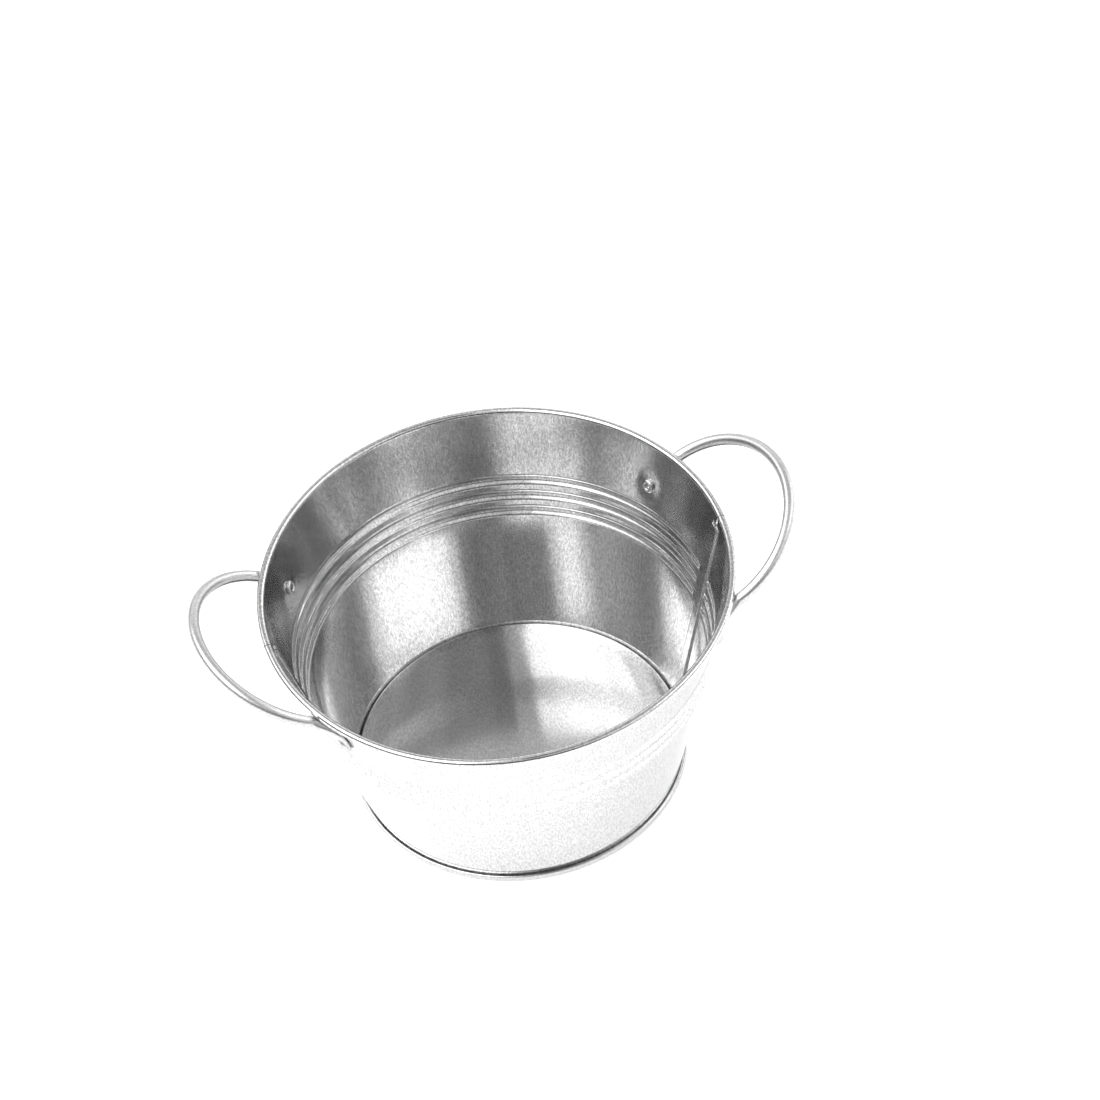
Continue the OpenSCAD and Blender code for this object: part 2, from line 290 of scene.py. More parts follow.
def new_tree(name, sizes):
    """A geometry tree with one input for each named size and a Geometry output, and the outputs of its input
    node.
    """
    tree = bpy.data.node_groups.new(name, "GeometryNodeTree")
    tree.interface.new_socket("Geometry", in_out="INPUT", socket_type="NodeSocketGeometry")
    for label, kind in sizes.items():
        tree.interface.new_socket(label, in_out="INPUT", socket_type="NodeSocket" + kind)
    tree.interface.new_socket("Geometry", in_out="OUTPUT", socket_type="NodeSocketGeometry")
    return tree, add(tree, "NodeGroupInput").outputs


def close_tree(tree, given, geometry):
    """Ends a tree in real faces with their material."""
    real = add(tree, "GeometryNodeRealizeInstances", {0: geometry})
    painted = add(tree, "GeometryNodeSetMaterial", {0: real.outputs[0], 2: given["Material"]})
    add(tree, "NodeGroupOutput", {0: painted.outputs[0]})
    return tree


def beads_tree():
    """Presses a group of beads into an upright sheet, along the normal that each point carries."""
    tree, given = new_tree("Pressed beads", {
        "Middle": "Float", "Spacing": "Float", "Width": "Float", "Rise": "Float", "Count": "Int",
        "Material": "Material"})
    place = add(tree, "GeometryNodeInputPosition").outputs[0]
    height = add(tree, "ShaderNodeSeparateXYZ", {0: place}).outputs[2]
    kept = add(tree, "GeometryNodeInputNamedAttribute", {0: "bead_share"}, data_type="FLOAT").outputs[0]
    way = add(tree, "GeometryNodeInputNamedAttribute", {0: "wall_out"}, data_type="FLOAT_VECTOR").outputs[0]
    known = {"height": height, "kept": kept, "middle": given["Middle"], "spacing": given["Spacing"],
             "width": given["Width"], "rise": given["Rise"], "count": given["Count"]}
    for result, operation, a, b in (
            # How far a point is above the lowest bead
            ("above", "SUBTRACT", "height", "middle"),
            ("last", "SUBTRACT", "count", 1.0),
            ("reach", "MULTIPLY", "last", 0.5),
            ("reach", "MULTIPLY", "reach", "spacing"),
            ("above", "ADD", "above", "reach"),
            # The nearest bead, and how far the point is from its middle, as a share of its width
            ("near", "DIVIDE", "above", "spacing"),
            ("near", "ROUND", "near", 0.0),
            ("near", "MAXIMUM", "near", 0.0),
            ("near", "MINIMUM", "near", "last"),
            ("near", "MULTIPLY", "near", "spacing"),
            ("apart", "SUBTRACT", "above", "near"),
            ("share", "DIVIDE", "apart", "width"),
            # A bead is one wave of a cosine, and nothing beyond its width
            ("beside", "ABSOLUTE", "share", 0.0),
            ("inside", "LESS_THAN", "beside", 0.5),
            ("wave", "MULTIPLY", "share", 2 * math.pi),
            ("wave", "COSINE", "wave", 0.0),
            ("wave", "ADD", "wave", 1.0),
            ("wave", "MULTIPLY", "wave", 0.5),
            ("push", "MULTIPLY", "wave", "inside"),
            ("push", "MULTIPLY", "push", "rise"),
            ("push", "MULTIPLY", "push", "kept")):
        node = add(tree, "ShaderNodeMath", {0: known.get(a, a), 1: known.get(b, b)}, operation=operation)
        known[result] = node.outputs[0]
    push = add(tree, "ShaderNodeVectorMath", {0: way, "Scale": known["push"]}, operation="SCALE")
    moved = add(tree, "GeometryNodeSetPosition", {0: given[0], "Offset": push.outputs[0]})
    return close_tree(tree, given, moved.outputs[0])


def turned_tree():
    """Turns a section, drawn in X as radius and Y as height, once about the Z axis."""
    tree, given = new_tree("Turned section", {"Steps": "Int", "Material": "Material"})
    section = add(tree, "GeometryNodeMeshToCurve", {0: given[0]})
    shifted = add(tree, "GeometryNodeTransform", {
        0: section.outputs[0], "Translation": (-PATH_R, 0, 0), "Scale": (1, -1, 1)})
    path = add(tree, "GeometryNodeCurvePrimitiveCircle", {"Resolution": given["Steps"], "Radius": PATH_R})
    level = add(tree, "GeometryNodeSetCurveNormal", {0: path.outputs[0]}, mode="Z_UP")
    swept = add(tree, "GeometryNodeCurveToMesh", {0: level.outputs[0], 1: shifted.outputs[0]})
    closed = add(tree, "GeometryNodeMergeByDistance", {0: swept.outputs[0], "Distance": MERGE})
    return close_tree(tree, given, closed.outputs[0])


def rivets_tree():
    """Sets one rivet at each point, with its axis along the direction that the point carries."""
    tree, given = new_tree("Rivets at points", {"Rivet": "Object", "Material": "Material"})
    rivet = add(tree, "GeometryNodeObjectInfo", {"Object": given["Rivet"]})
    way = add(tree, "GeometryNodeInputNamedAttribute", {0: "wall_out"}, data_type="FLOAT_VECTOR").outputs[0]
    turned = add(tree, "FunctionNodeAlignRotationToVector", {"Vector": way}, axis="Z")
    set_out = add(tree, "GeometryNodeInstanceOnPoints", {
        0: given[0], "Instance": rivet.outputs["Geometry"], "Rotation": turned.outputs[0]})
    return close_tree(tree, given, set_out.outputs[0])


def run_tree(obj, tree, values):
    """Puts a tree on an object, with its inputs set by their sockets' identifiers."""
    found = obj.modifiers.new(tree.name, "NODES")
    found.node_group = tree
    for item in tree.interface.items_tree:
        if item.in_out == "INPUT" and item.name in values:
            found[item.identifier] = values[item.name]
    return found


# ---- Objects ----

# Millimetres from the floor and from the rolled rim at which the side seams end
SEAM_LOW, SEAM_HIGH = 0.5, 1


def new_object(name, points, faces, edges=(), attributes=()):
    """An object at the origin from points in millimetres, with vector or number attributes on its points."""
    mesh = bpy.data.meshes.new(name)
    mesh.from_pydata((np.asarray(points, float) * MM).tolist(), list(edges), faces)
    for label, values in dict(attributes).items():
        values = np.asarray(values, np.float32)
        kind, field = ("FLOAT_VECTOR", "vector") if values.ndim == 2 else ("FLOAT", "value")
        mesh.attributes.new(label, kind, "POINT").data.foreach_set(field, values.ravel())
    obj = bpy.data.objects.new(name, mesh)
    bpy.context.scene.collection.objects.link(obj)
    return obj


def settle(obj, sharp=35):
    """Turns an object with modifiers into a plain smooth mesh with its hard edges kept."""
    view = bpy.context.evaluated_depsgraph_get()
    solid = obj.evaluated_get(view)
    mesh = bpy.data.meshes.new_from_object(solid, preserve_all_data_layers=True, depsgraph=view)
    mesh.name = obj.name
    obj.modifiers.clear()
    obj.data = mesh
    mesh.shade_smooth()
    mesh.set_sharp_from_angle(angle=math.radians(sharp))
    return obj


def hand_over(obj, slot, *nodes):
    """Hides the packed nodes that a finished piece stands for, and hangs the piece on the body that it rides
    on.
    """
    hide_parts(*nodes)
    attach(obj, BODY)


class Form:
    """The bucket's sizes in millimetres, from the frame's boxes and the sizes a user sets."""

    def __init__(self, scene):
        sizes, handle = scene.bucket_sheet, scene.bucket_handle
        for group in (sizes, handle):
            for key in group.bl_rna.properties.keys():
                if isinstance(getattr(group, key), float):
                    setattr(self, key, getattr(group, key) / MM)
        self.bead_count = sizes.bead_count
        shell_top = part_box("back_shell")[1]
        self.rim_r, self.height = shell_top.y / MM, shell_top.z / MM
        base_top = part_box("base_pan")[1]
        self.foot_r, self.floor = base_top.x / MM, base_top.z / MM
        self.layer = self.sheet + self.fold_gap
        self.curl_r = self.curl / 2
        self.curl_middle = np.array([self.rim_r - self.curl_r, self.height - self.curl_r])
        self.knee = self.ring + self.fold_gap
        self.base_r = self.foot_r - 3 * self.layer - self.sheet
        self.slope = (self.rim_r - self.curl - self.base_r) / (self.curl_middle[1] - self.knee)
        self.lean = math.atan(self.slope)
        self.seam_low, self.seam_high = self.floor + SEAM_LOW, self.height - self.curl - SEAM_HIGH
        self.rivets = [self.rivet(n) for n in sorted(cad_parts) if n.startswith("rivet_")]

    def wall(self, height):
        """Radius of the wall's inner face at a height."""
        return self.base_r + self.slope * (height - self.knee)

    def rivet(self, node):
        """Where a rivet's axis meets the wall's outer face, and the way out along it."""
        points = np.array([v.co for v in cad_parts[node].data.vertices]) / MM
        x, y, z = points.mean(0)
        angle, radius = math.atan2(y, x), math.hypot(x, y)
        tilt = (math.cos(self.lean), math.sin(self.lean))
        along = (self.wall(z) + self.sheet - radius) / (tilt[0] + self.slope * tilt[1])
        out = np.array([tilt[0] * math.cos(angle), tilt[0] * math.sin(angle), -tilt[1]])
        return points.mean(0) + out * along, out


# ---- Half shells ----

# Degrees round the rolled rim at which its hidden edge stops
CURL_END = -137

# Millimetres: start, end and spacing of the rows of points down the wall, then the height from which they are
# close together again at the foot, and the spacing there and next to the rim
ROW_BANDS = ((81, 64.5, 2.2), (64.2, 45.8, 0.3), (45.5, 9, 3.1))
FOOT_ROWS = 8.4
FINE_ROW = 0.4

# Millimetres: radius of the bends in the foot's hook
FOOT_BEND = 0.2

# Millimetres from the middle of a seam: points of the wall beside it, the last one where plain wall begins,
# then where the seam's outer layer starts to step down to the wall, and the run of that step
BESIDE_SEAM = (0.8, 1.5, 2.0, *np.linspace(2.1, 3.0, 9), 3.6, 4.3)
STEP_START, STEP_RUN = 2.05, 0.9

# Millimetres: the height in which a seam rises out of the wall at its ends, and the share that counts as full
SEAM_EASE = 0.9
SEAM_FULL = 0.999

# The notch at a seam's upper end: its middle above that end and its reach in millimetres, and how round it is
NOTCH_RISE, NOTCH_REACH, NOTCH_POWER = 0.1, 1.9, 0.7

# Millimetres from a seam at which the beads begin and are full, at the end of a half shell that has X above 0
# before it is turned round, and at the other
BEAD_STOPS = {1: (3.6, 6.0), -1: (2.8, 5.4)}

# Millimetres: how far from a rivet the wall is drawn out, and how steeply that ends
DIMPLE_REACH, DIMPLE_POWER = 4.2, 4

# Strips of faces round a half shell between its two seams
WALL_STEPS = 170


def section_rows(form):
    """Middle of the sheet from the rim's rolled edge to the foot's hook, and where its curl and wall end."""
    half = form.sheet / 2
    curl = arc(form.curl_middle, form.curl_r - half, CURL_END, 180 - math.degrees(form.lean), 30)
    knee = np.array([form.base_r + half, form.knee])
    top = curl[-1]
    heights = np.concatenate([
        np.arange(top[1] - FINE_ROW, ROW_BANDS[0][0], -FINE_ROW),
        *[np.arange(start, end, -spacing) for start, end, spacing in ROW_BANDS],
        np.arange(FOOT_ROWS, form.knee, -FINE_ROW)])
    radii = knee[0] + (top[0] - knee[0]) * (heights - knee[1]) / (top[1] - knee[1])
    wall = np.column_stack([radii, heights])
    low = form.sheet + form.fold_gap + half + FOOT_BEND
    out_r = form.base_r + 2 * form.layer + half
    hook = np.concatenate([
        knee[None],
        arc((knee[0] + FOOT_BEND, low), FOOT_BEND, 180, 270, 4),
        arc((out_r - FOOT_BEND, low), FOOT_BEND, 270, 360, 4),
        [[out_r, form.ring - form.sheet - form.fold_gap]]])
    return np.concatenate([curl, wall, hook]), len(curl), len(curl) + len(wall)


def seam_columns(form):
    """The sheet across a seam, as distances and offsets: the free hook, then the part up to the wall."""
    radius = form.layer
    lower, upper = -0.5 * form.layer, 1.5 * form.layer
    edge = -form.seam / 2 + form.sheet / 2 + radius
    hook = [(away, lower) for away in np.linspace(form.seam / 2 - form.layer, edge, 5)[:-1]]
    fold = [(edge + radius * math.cos(a), 0.5 * form.layer + radius * math.sin(a))
            for a in np.radians(np.linspace(270, 90, 9))]
    flat = [(away, upper) for away in np.linspace(edge, 0, 5)[1:-1]]
    joined = [(away, upper * (1 - ease((away - STEP_START) / STEP_RUN)))
              for away in (form.sheet / 2, *BESIDE_SEAM)]
    return hook + fold + flat, joined


def bead_share(away, side):
    """How much of a bead's height is left at a distance from the seam at one end of a half shell."""
    start, full = BEAD_STOPS[side]
    return ease((away - start) / (full - start))


def shell_points(form):
    """Points and bead shares of a half shell, column by column from one seam to the other.

    Then which rows are wall, which have the seam at its full depth, and how many columns each free hook has.
    """
    rows, curl_end, wall_end = section_rows(form)
    free, joined = seam_columns(form)
    radius, height = rows.T
    is_wall = np.zeros(len(rows), bool)
    is_wall[curl_end:wall_end] = True
    in_seam = ease((form.seam_high - height) / SEAM_EASE) * ease((height - form.seam_low) / SEAM_EASE)
    in_seam = in_seam * is_wall
    from_notch = np.abs(height - (form.seam_high + NOTCH_RISE)) / NOTCH_REACH
    notch = form.notch * np.clip(1 - from_notch, 0, 1) ** NOTCH_POWER * is_wall
    half, reach = form.sheet / 2, BESIDE_SEAM[-1]

    ends = {}
    for side in (1, -1):
        ends[side] = []
        for k, (away, lift) in enumerate(free + joined):
            across = np.full(len(rows), float(away))
            if k >= len(free):
                across += notch * (reach - away) / (reach - half)
            offset = side * lift * in_seam
            r = radius + offset * math.cos(form.lean)
            z = height - offset * math.sin(form.lean)
            x = side * np.sqrt(r * r - across * across)
            ends[side].append((np.column_stack([x, across, z]), bead_share(across, side) * is_wall))
    first = np.arcsin(reach / radius)
    middle = []
    for k in range(1, WALL_STEPS):
        angle = first + (np.pi - 2 * first) * k / WALL_STEPS
        share = bead_share(radius * angle, 1) * bead_share(radius * (np.pi - angle), -1)
        place = np.column_stack([radius * np.cos(angle), radius * np.sin(angle), height])
        middle.append((place, share * is_wall))
    grid, share = zip(*ends[1], *middle, *ends[-1][::-1])
    return np.array(grid), np.array(share), is_wall, in_seam > SEAM_FULL, len(free)


def half_shell(form, name, turned_round):
    """One formed half of the wall, with its rolled rim, its beads and one layer of each side seam."""
    grid, share, is_wall, full, free = shell_points(form)
    count, depth = grid.shape[:2]
    angle = np.arctan2(grid[..., 1], grid[..., 0])
    level = math.cos(form.lean)
    out = np.stack([level * np.cos(angle), level * np.sin(angle), np.full_like(angle, -math.sin(form.lean))],
                   axis=-1)

    # The wall is drawn a little towards each rivet
    for point, way in form.rivets:
        if point[1] > 0:
            far = np.linalg.norm(grid - (point - way * form.sheet / 2), axis=-1)
            drawn = form.dimple * np.exp(-(far / DIMPLE_REACH) ** DIMPLE_POWER) * is_wall
            grid = grid - out * drawn[..., None]

    # A seam's free hook has faces only where the seam has its full depth
    faces = []
    for i in range(count - 1):
        hook = i < free or i >= count - 1 - free
        for j in range(depth - 1):
            if not hook or full[j] and full[j + 1]:
                a = i * depth + j
                faces.append((a, a + depth, a + depth + 1, a + 1))
    faces = np.array(faces)
    used = np.unique(faces)
    renumber = np.full(count * depth, -1)
    renumber[used] = np.arange(len(used))
    turn_round = (-1, -1, 1) if turned_round else (1, 1, 1)
    obj = new_object(name, grid.reshape(-1, 3)[used] * turn_round, renumber[faces].tolist(), attributes={
        "wall_out": out.reshape(-1, 3)[used] * turn_round, "bead_share": share.ravel()[used]})
    run_tree(obj, bpy.data.node_groups.get("Pressed beads") or beads_tree(), {
        "Middle": form.bead_middle * MM, "Spacing": form.bead_pitch * MM, "Width": form.bead_width * MM,
        "Rise": form.bead_rise * MM, "Count": form.bead_count, "Material": material("tinned_sheet_rolled")})
    thick = obj.modifiers.new("Sheet", "SOLIDIFY")
    thick.thickness = form.sheet * MM
    thick.offset = 0
    return settle(obj)


class BUCKET_OT_shells(bpy.types.Operator):
    """Forms the two half shells of the wall, with beads, rolled rim and side seams"""
    bl_idname = "bucket.shells"
    bl_label = "Wall shells"

    def execute(self, context):
        form = Form(context.scene)
        hand_over(half_shell(form, "wall_back", False), "tinned_sheet", "back_shell")
        hand_over(half_shell(form, "wall_front", True), "tinned_sheet", "front_shell")
        return {"FINISHED"}


# ---- Turned pieces ----

# Steps of a turned piece round its axis
TURN_STEPS = 256


def turned(name, outline, closed, steps, paint):
    """A piece turned from an outline of radius and height in millimetres, with its faces outwards."""
    after = np.roll(outline, -1, axis=0)
    area = np.sum(outline[:, 0] * after[:, 1] - after[:, 0] * outline[:, 1])
    way = -1 if area > 0 else 1
    points = [(r, z, 0) for r, z in outline[::way]]
    edges = [(i, i + 1) for i in range(len(points) - 1)]
    if closed:
        edges.append((len(points) - 1, 0))
    obj = new_object(name, points, [], edges)
    run_tree(obj, bpy.data.node_groups.get("Turned section") or turned_tree(),
             {"Steps": steps, "Material": paint})
    return settle(obj)


# Millimetres: bends of the base sheet at its floor, at its standing edge and at the tip of its hook, then the
# hook's clearance over the shells' hook
FLOOR_BEND, EDGE_BEND, TIP_BEND = 0.5, 0.32, 0.2
HOOK_CLEARANCE = 0.1


def base_outline(form):
    """Outline of the base sheet: floor, chuck wall, standing edge, outer ring and the hook tucked in it."""
    half = form.sheet / 2
    chuck_r = form.base_r - form.layer + half
    ring_r = form.foot_r - half
    hook_r = form.base_r + form.layer + half
    top, foot, shoulder = form.floor - half, half + EDGE_BEND, form.ring - half
    line = np.concatenate([
        [[0, top], [chuck_r * 0.3, top], [chuck_r * 0.6, top], [chuck_r - 4, top]],
        arc((chuck_r - FLOOR_BEND, top - FLOOR_BEND), FLOOR_BEND, 90, 0, 8),
        arc((chuck_r + EDGE_BEND, foot), EDGE_BEND, 180, 270, 7),
        arc((ring_r - EDGE_BEND, foot), EDGE_BEND, 270, 360, 7),
        arc((ring_r - EDGE_BEND, shoulder - EDGE_BEND), EDGE_BEND, 0, 90, 7),
        arc((hook_r + TIP_BEND, shoulder - TIP_BEND), TIP_BEND, 90, 180, 5),
        [[hook_r, 2 * form.layer + HOOK_CLEARANCE]]])
    step = unit(np.gradient(line, axis=0))
    side = np.column_stack([-step[:, 1], step[:, 0]]) * half
    side[0] = (0, half)
    return np.concatenate([line + side, (line - side)[::-1]])


class BUCKET_OT_base(bpy.types.Operator):
    """Turns the base pan, with its sunk floor and folded foot ring"""
    bl_idname = "bucket.base"
    bl_label = "Base pan"

    def execute(self, context):
        form = Form(context.scene)
        obj = turned("base", base_outline(form), False, TURN_STEPS, material("tinned_base_sheet"))
        hand_over(obj, "base_sheet", "base_pan")
        return {"FINISHED"}


class BUCKET_OT_rim_wire(bpy.types.Operator):
    """Turns the steel wire inside the rolled rim"""
    bl_idname = "bucket.rim_wire"
    bl_label = "Rim wire"

    def execute(self, context):
        form = Form(context.scene)
        low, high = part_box("rim_wire")
        wire_r = (high.z - low.z) / MM / 2
        outline = arc(form.curl_middle, wire_r, 0, 350, 24)
        obj = turned("wire", outline, True, TURN_STEPS, material("rivet_steel_headed"))
        hand_over(obj, "steel_wire", "rim_wire")
        return {"FINISHED"}


# ---- Handles ----

# How far below level, seen from the middle of the rolled rim, a leg passes under the rim
UNDER_RIM = math.radians(48)

# Millimetres: how far the loop stays inside the packed handle's box
TIP_INSET = 0.02

# Millimetres along the flat end: from the rivet down to its tip, and up to where it starts to swell
FLAT_BELOW, FLAT_ABOVE = 3.2, 3.6

# Millimetres: how far the bend between the flat and the loop is pulled along each of them
FLAT_PULL, LOOP_PULL = 3.8, 2

# Stations along the flat's rounded tip as shares of its radius, and how many follow along the bend
TIP_SHARES = (0.02, 0.06, 0.12, 0.2, 0.3, 0.42, 0.55, 0.7, 0.85, 1)
BEND_STATIONS = 37

# Stations of half the loop, from a leg to its middle, in degrees from that middle
LOOP_STATIONS = np.arange(88, -0.1, -2)

# Points round the tube, and half of the strip's open slit in degrees
TUBE_STEPS = 44
SLIT = 6


def blend(a, b, s):
    """Goes from a to b as s goes from 0 to 1."""
    return a * (1 - s) + b * s


def flat_sizes(form):
    """Half the thickness and half the width of a tube that is pressed flat."""
    middle_r = form.tube / 2 - form.tube_wall / 2
    return form.tube_wall + FLAT_GAP, np.pi * middle_r / 2 + (1 - np.pi / 4) * form.tube_wall


def handle_path(form):
    """Stations along the right handle: place, way, face normal, how far pressed flat, share of full width."""
    handle_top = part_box("right_handle")[1]
    tube_r = form.tube / 2
    flat_r, flat_half = flat_sizes(form)
    leg_y = form.leg_span / 2
    clear = form.curl_r + tube_r + form.rim_gap
    leg_r = form.curl_middle[0] + clear * math.cos(UNDER_RIM)
    leg_z = form.curl_middle[1] - clear * math.sin(UNDER_RIM)
    leg = np.array([math.sqrt(leg_r ** 2 - leg_y ** 2), 0, leg_z])
    inset = tube_r + TIP_INSET
    tip = np.array([handle_top.x / MM - inset, 0, handle_top.z / MM - inset])
    reach = np.linalg.norm(tip - leg)
    out = (tip - leg) / reach
    under = np.array([out[2], 0, -out[0]])
    point, wall_out = next((p, w) for p, w in form.rivets if p[0] > 0 and p[1] > 0)
    angle = math.atan2(point[1], point[0])
    wall_up = np.array([math.sin(form.lean) * math.cos(angle), math.sin(form.lean) * math.sin(angle),
                        math.cos(form.lean)])
    flat = point + wall_out * (form.fold_gap + flat_r)

    stations = []
    for s in TIP_SHARES:
        place = flat + wall_up * (s * flat_half - FLAT_BELOW)
        stations.append((place, wall_up, wall_out, 1, math.sqrt(1 - (1 - s) ** 2)))
    a = flat + wall_up * FLAT_ABOVE
    b = a + wall_up * FLAT_PULL
    d = leg + (0, leg_y, 0)
    c = d - out * LOOP_PULL
    for s in np.linspace(0, 1, BEND_STATIONS):
        r = 1 - s
        place = r ** 3 * a + 3 * r * r * s * b + 3 * r * s * s * c + s ** 3 * d
        way = r * r * (b - a) + 2 * r * s * (c - b) + s * s * (d - c)
        face = blend(wall_out, under, ease(s) ** 3)
        stations.append((place, unit(way), unit(face), 1 - ease(s), 1))
    for t in np.radians(LOOP_STATIONS):
        place = leg + reach * math.cos(t) * out + (0, leg_y * math.sin(t), 0)
        way = reach * math.sin(t) * out - np.array([0, leg_y * math.cos(t), 0])
        stations.append((place, unit(way), under, 0, 1))
    for place, way, face, press, width in stations[-2::-1]:
        stations.append((place * (1, -1, 1), way * (-1, 1, -1), face * (1, -1, 1), press, width))
    return stations


def handle_mesh(form, name, turned_round):
    """A strip rolled to a tube, bent to half an oval and pressed flat at both ends."""
    flat_r, flat_half = flat_sizes(form)
    angles = np.radians(-180 + SLIT + (np.arange(TUBE_STEPS) + 0.5) * (360 - 2 * SLIT) / TUBE_STEPS)

    def ring(press, width, inset):
        thick = blend(form.tube / 2, flat_r, press) - inset
        wide = width * (blend(form.tube / 2, flat_half, press) - inset)
        straight = np.sign(np.cos(angles)) * max(0, wide - thick)
        return np.column_stack([straight + thick * np.cos(angles), thick * np.sin(angles)])

    rings = []
    for place, way, face, press, width in handle_path(form):
        face = unit(face - way * (face @ way))
        side = np.cross(way, face)
        flat = np.concatenate([ring(press, width, 0), ring(press, width, form.tube_wall)[::-1]])
        rings.append(place + flat[:, :1] * side + flat[:, 1:] * face)
    rings = np.array(rings)
    count, n = rings.shape[:2]
    faces = [(k * n + i, k * n + (i + 1) % n, (k + 1) * n + (i + 1) % n, (k + 1) * n + i)
             for k in range(count - 1) for i in range(n)]
    last = (count - 1) * n
    for i in range(n // 2 - 1):
        opposite = n - 1 - i
        faces.append((i, opposite, opposite - 1, i + 1))
        faces.append((last + i + 1, last + opposite - 1, last + opposite, last + i))
    points = rings.reshape(-1, 3) * ((-1, -1, 1) if turned_round else (1, 1, 1))
    obj = new_object(name, points, [face[::-1] for face in faces])
    obj.data.materials.append(material("drawn_steel_tube"))
    return settle(obj, sharp=50)


class BUCKET_OT_handles(bpy.types.Operator):
    """Bends the two tube handles, with their ends pressed flat on the wall"""
    bl_idname = "bucket.handles"
    bl_label = "Handles"

    def execute(self, context):
        form = Form(context.scene)
        hand_over(handle_mesh(form, "handle_right", False), "handle_tube", "right_handle")
        hand_over(handle_mesh(form, "handle_left", True), "handle_tube", "left_handle")
        return {"FINISHED"}


# ---- Rivets ----

# Millimetres: radius of the tail's roll, the wall left round its bore and how far the head's underside is cut
# back, then the heights of the bore's shoulder, cone and bottom above the middle of the roll
TAIL_ROLL, BORE_WALL, HEAD_LIP = 0.65, 0.55, 0.15
BORE_SHOULDER, BORE_CONE, BORE_BOTTOM = 1.2, 1.5, 1.6

# Steps of a rivet round its axis
RIVET_STEPS = 40


def rivet_outline(form):
    """Outline of one rivet, from its crown to the blind hole in its rolled tail; height 0 is the wall."""
    stand_off = 2 * (form.tube_wall + FLAT_GAP) + 2 * form.fold_gap
    crown_r = (form.head ** 2 / 4 + form.head_rise ** 2) / (2 * form.head_rise)
    reach = math.degrees(math.asin(form.head / 2 / crown_r))
    crown = arc((0, stand_off + form.head_rise - crown_r), crown_r, 90, 90 - reach, 16)
    crown[0, 0] = 0
    face = -form.sheet - 2 * form.fold_gap
    middle = face - TAIL_ROLL
    shank = form.shank / 2
    bore = shank - BORE_WALL
    return np.concatenate([
        crown,
        [[form.head / 2 - HEAD_LIP, stand_off], [shank, stand_off], [shank, face]],
        arc((form.tail / 2 - TAIL_ROLL, middle), TAIL_ROLL, 80, -180, 18),
        [[bore, middle - TAIL_ROLL / 2], [bore, middle + BORE_SHOULDER],
         [bore * 0.7, middle + BORE_CONE], [0, middle + BORE_BOTTOM]]])


class BUCKET_OT_rivets(bpy.types.Operator):
    """Sets the four rivets that hold the handles"""
    bl_idname = "bucket.rivets"
    bl_label = "Rivets"

    def execute(self, context):
        form = Form(context.scene)
        paint = material("rivet_steel_headed")
        one = turned("rivet_pattern", rivet_outline(form), False, RIVET_STEPS, paint)
        points = np.array([p for p, _ in form.rivets])
        obj = new_object("rivets", points, [], attributes={"wall_out": [w for _, w in form.rivets]})
        run_tree(obj, rivets_tree(), {"Rivet": one, "Material": paint})
        settle(obj)
        bpy.data.objects.remove(one)
        hand_over(obj, "rivet_steel", *[n for n in sorted(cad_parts) if n.startswith("rivet_")])
        return {"FINISHED"}


# ---- Stage ----

# Millimetres: radius of the floor, and how far it lies below the foot
FLOOR_R, FLOOR_DROP = 1800, 0.2

# Width of the camera's film in millimetres, and the nearest and farthest that it sees in metres
FILM_WIDTH = 36
CLIP = (0.1, 20)


def studio_world():
    """Rings of soft panels one above another, seen in the metal and floor; the camera sees plain white."""
    world = bpy.data.worlds.new("studio")
    world.use_nodes = True
    tree = world.node_tree
    tree.nodes.clear()
    way = add(tree, "ShaderNodeTexCoord").outputs["Generated"]
    x, y, z = add(tree, "ShaderNodeSeparateXYZ", {0: way}).outputs
    front = add(tree, "ShaderNodeMath", {0: y, 1: -1.0}, operation="MULTIPLY")
    azimuth = add(tree, "ShaderNodeMath", {0: x, 1: front.outputs[0]}, operation="ARCTAN2")
    share = add(tree, "ShaderNodeMapRange", {
        "Value": azimuth.outputs[0], "From Min": -math.pi, "From Max": math.pi})
    known = {"elevation": add(tree, "ShaderNodeMath", {0: z}, operation="ARCSINE").outputs[0], "total": 0.0}
    for middle, reach, tones in PANELS:
        ramp = add(tree, "ShaderNodeValToRGB", {0: share.outputs[0]})
        ramp.color_ramp.interpolation = "CONSTANT"
        stops = ramp.color_ramp.elements
        stops[0].color = stops[1].color = (*[tones[0] / PANEL_TOP] * 3, 1)
        for k, tone in enumerate(tones[1:], 1):
            stops.new(k / len(tones)).color = (*[tone / PANEL_TOP] * 3, 1)
        known["tone"] = ramp.outputs[0]
        for result, operation, a, b in (
                ("apart", "SUBTRACT", "elevation", math.radians(middle)),
                ("apart", "ABSOLUTE", "apart", 0.0),
                ("apart", "DIVIDE", "apart", math.radians(reach)),
                ("near", "SUBTRACT", 1.0, "apart"),
                ("near", "MAXIMUM", "near", 0.0),
                ("light", "MULTIPLY", "near", "tone"),
                ("total", "ADD", "total", "light")):
            node = add(tree, "ShaderNodeMath", {0: known.get(a, a), 1: known.get(b, b)}, operation=operation)
            known[result] = node.outputs[0]
    glow = add(tree, "ShaderNodeMath", {0: known["total"], 1: PANEL_TOP}, operation="MULTIPLY")
    panels = add(tree, "ShaderNodeBackground", {"Color": WHITE, "Strength": glow.outputs[0]})
    plain = add(tree, "ShaderNodeBackground", {"Color": WHITE, "Strength": 1})
    seen = add(tree, "ShaderNodeLightPath").outputs["Is Camera Ray"]
    both = add(tree, "ShaderNodeMixShader", {0: seen, 1: panels.outputs[0], 2: plain.outputs[0]})
    add(tree, "ShaderNodeOutputWorld", {0: both.outputs[0]})
    bpy.context.scene.world = world


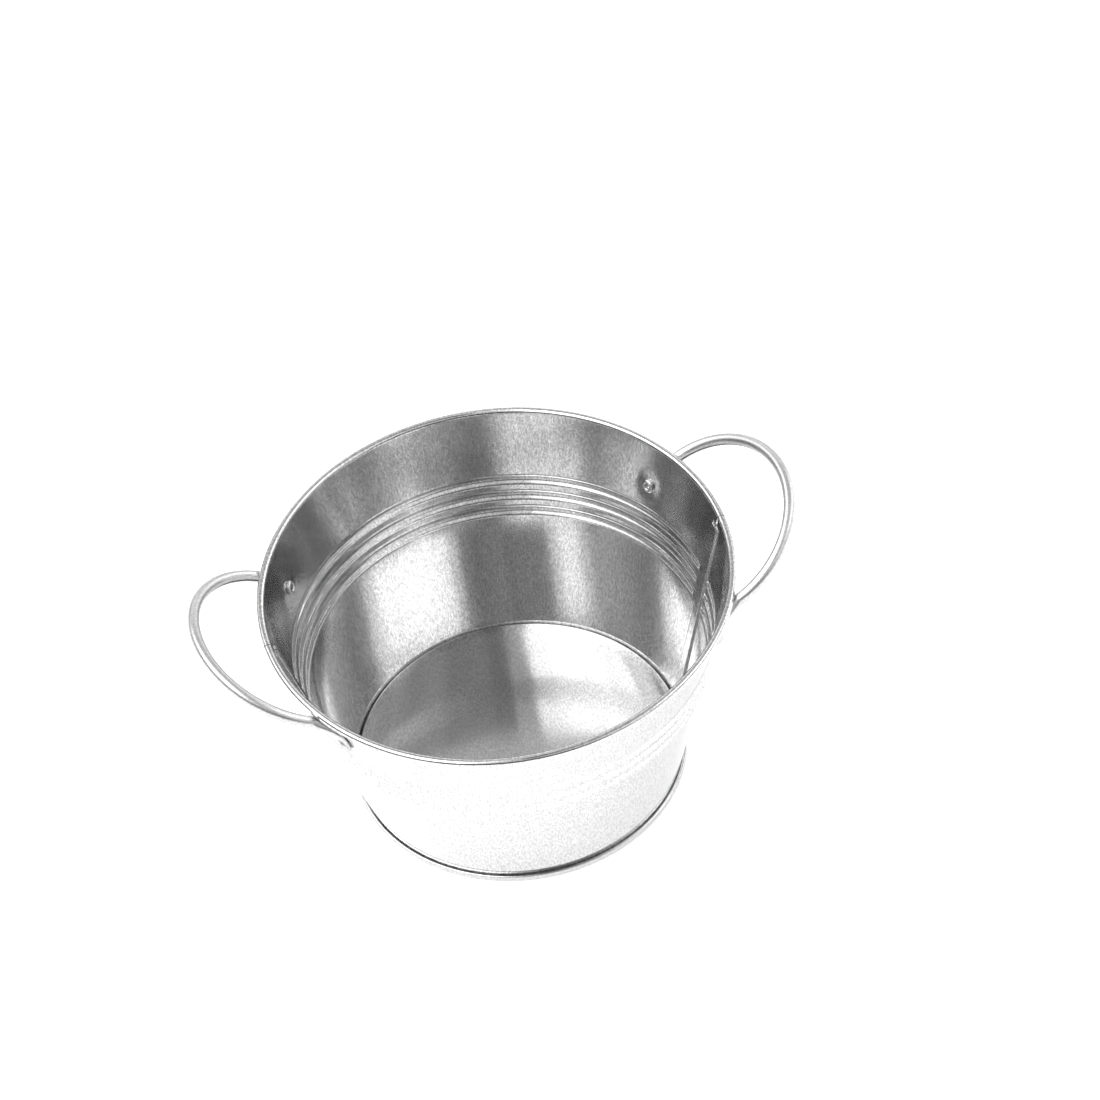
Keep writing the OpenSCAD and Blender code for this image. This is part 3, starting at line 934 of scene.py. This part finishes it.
def place_camera(scene):
    """Adds the camera where the view's distance, angles and aim put it."""
    view = scene.bucket_view
    a, e, roll = view.azimuth, view.elevation, view.roll
    back = Vector((math.sin(a) * math.cos(e), -math.cos(a) * math.cos(e), math.sin(e)))
    right = Vector((math.cos(a), math.sin(a), 0))
    up = back.cross(right)
    across = right * math.cos(roll) + up * math.sin(roll)
    above = up * math.cos(roll) - right * math.sin(roll)
    middle = Vector((0, 0, view.middle))
    place = middle + back * view.distance
    back = (place - middle - across * view.aim_right - above * view.aim_up).normalized()
    across = (across - back * across.dot(back)).normalized()
    above = back.cross(across)
    camera = bpy.data.objects.new("camera", bpy.data.cameras.new("camera"))
    camera.data.lens = view.lens
    camera.data.sensor_width = FILM_WIDTH
    camera.data.clip_start, camera.data.clip_end = CLIP
    camera.matrix_world = Matrix((
        (across.x, above.x, back.x, place.x),
        (across.y, above.y, back.y, place.y),
        (across.z, above.z, back.z, place.z),
        (0, 0, 0, 1)))
    scene.collection.objects.link(camera)
    scene.camera = camera


class BUCKET_OT_stage(bpy.types.Operator):
    """Lays the pale floor, sets the soft studio light and places the camera"""
    bl_idname = "bucket.stage"
    bl_label = "Floor, light and camera"

    def execute(self, context):
        scene = context.scene
        scene.view_settings.view_transform = "Standard"
        scene.cycles.glossy_bounces = WALL_BOUNCES
        ring = np.radians(np.arange(0, 360, 5))
        edge = [(FLOOR_R * math.cos(a), FLOOR_R * math.sin(a), -FLOOR_DROP) for a in ring]
        floor = new_object("floor", edge, [list(range(len(edge)))])
        floor.data.materials.append(material("floor_opal_acrylic"))
        studio_world()
        place_camera(scene)
        return {"FINISHED"}


# ---- Panel and main ----

GROUPS = {"bucket_sheet": BucketSheetSizes, "bucket_handle": BucketHandleSizes,
          "bucket_finishes": BucketFinishes, "bucket_view": BucketView}
OPERATORS = (BUCKET_OT_shells, BUCKET_OT_base, BUCKET_OT_rim_wire, BUCKET_OT_handles, BUCKET_OT_rivets,
             BUCKET_OT_stage)


class BUCKET_PT_panel(bpy.types.Panel):
    """Lists the bucket's sizes, colours and pieces"""
    bl_idname = "BUCKET_PT_panel"
    bl_label = "Florist bucket"
    bl_space_type = "VIEW_3D"
    bl_region_type = "UI"
    bl_category = "Bucket"

    def draw(self, context):
        for key, group in GROUPS.items():
            box = self.layout.box()
            box.label(text=group.__doc__)
            for name in group.__annotations__:
                box.prop(getattr(context.scene, key), name)
        for operator in OPERATORS:
            self.layout.operator(operator.bl_idname)


CLASSES = (*GROUPS.values(), *OPERATORS, BUCKET_PT_panel)


def register():
    for each in CLASSES:
        bpy.utils.register_class(each)
    for key, group in GROUPS.items():
        setattr(bpy.types.Scene, key, PointerProperty(type=group))


def unregister():
    for key in GROUPS:
        delattr(bpy.types.Scene, key)
    for each in reversed(CLASSES):
        bpy.utils.unregister_class(each)


def main():
    register()
    for operator in OPERATORS:
        group, name = operator.bl_idname.split(".")
        getattr(getattr(bpy.ops, group), name)()


if __name__ == "__main__":
    main()
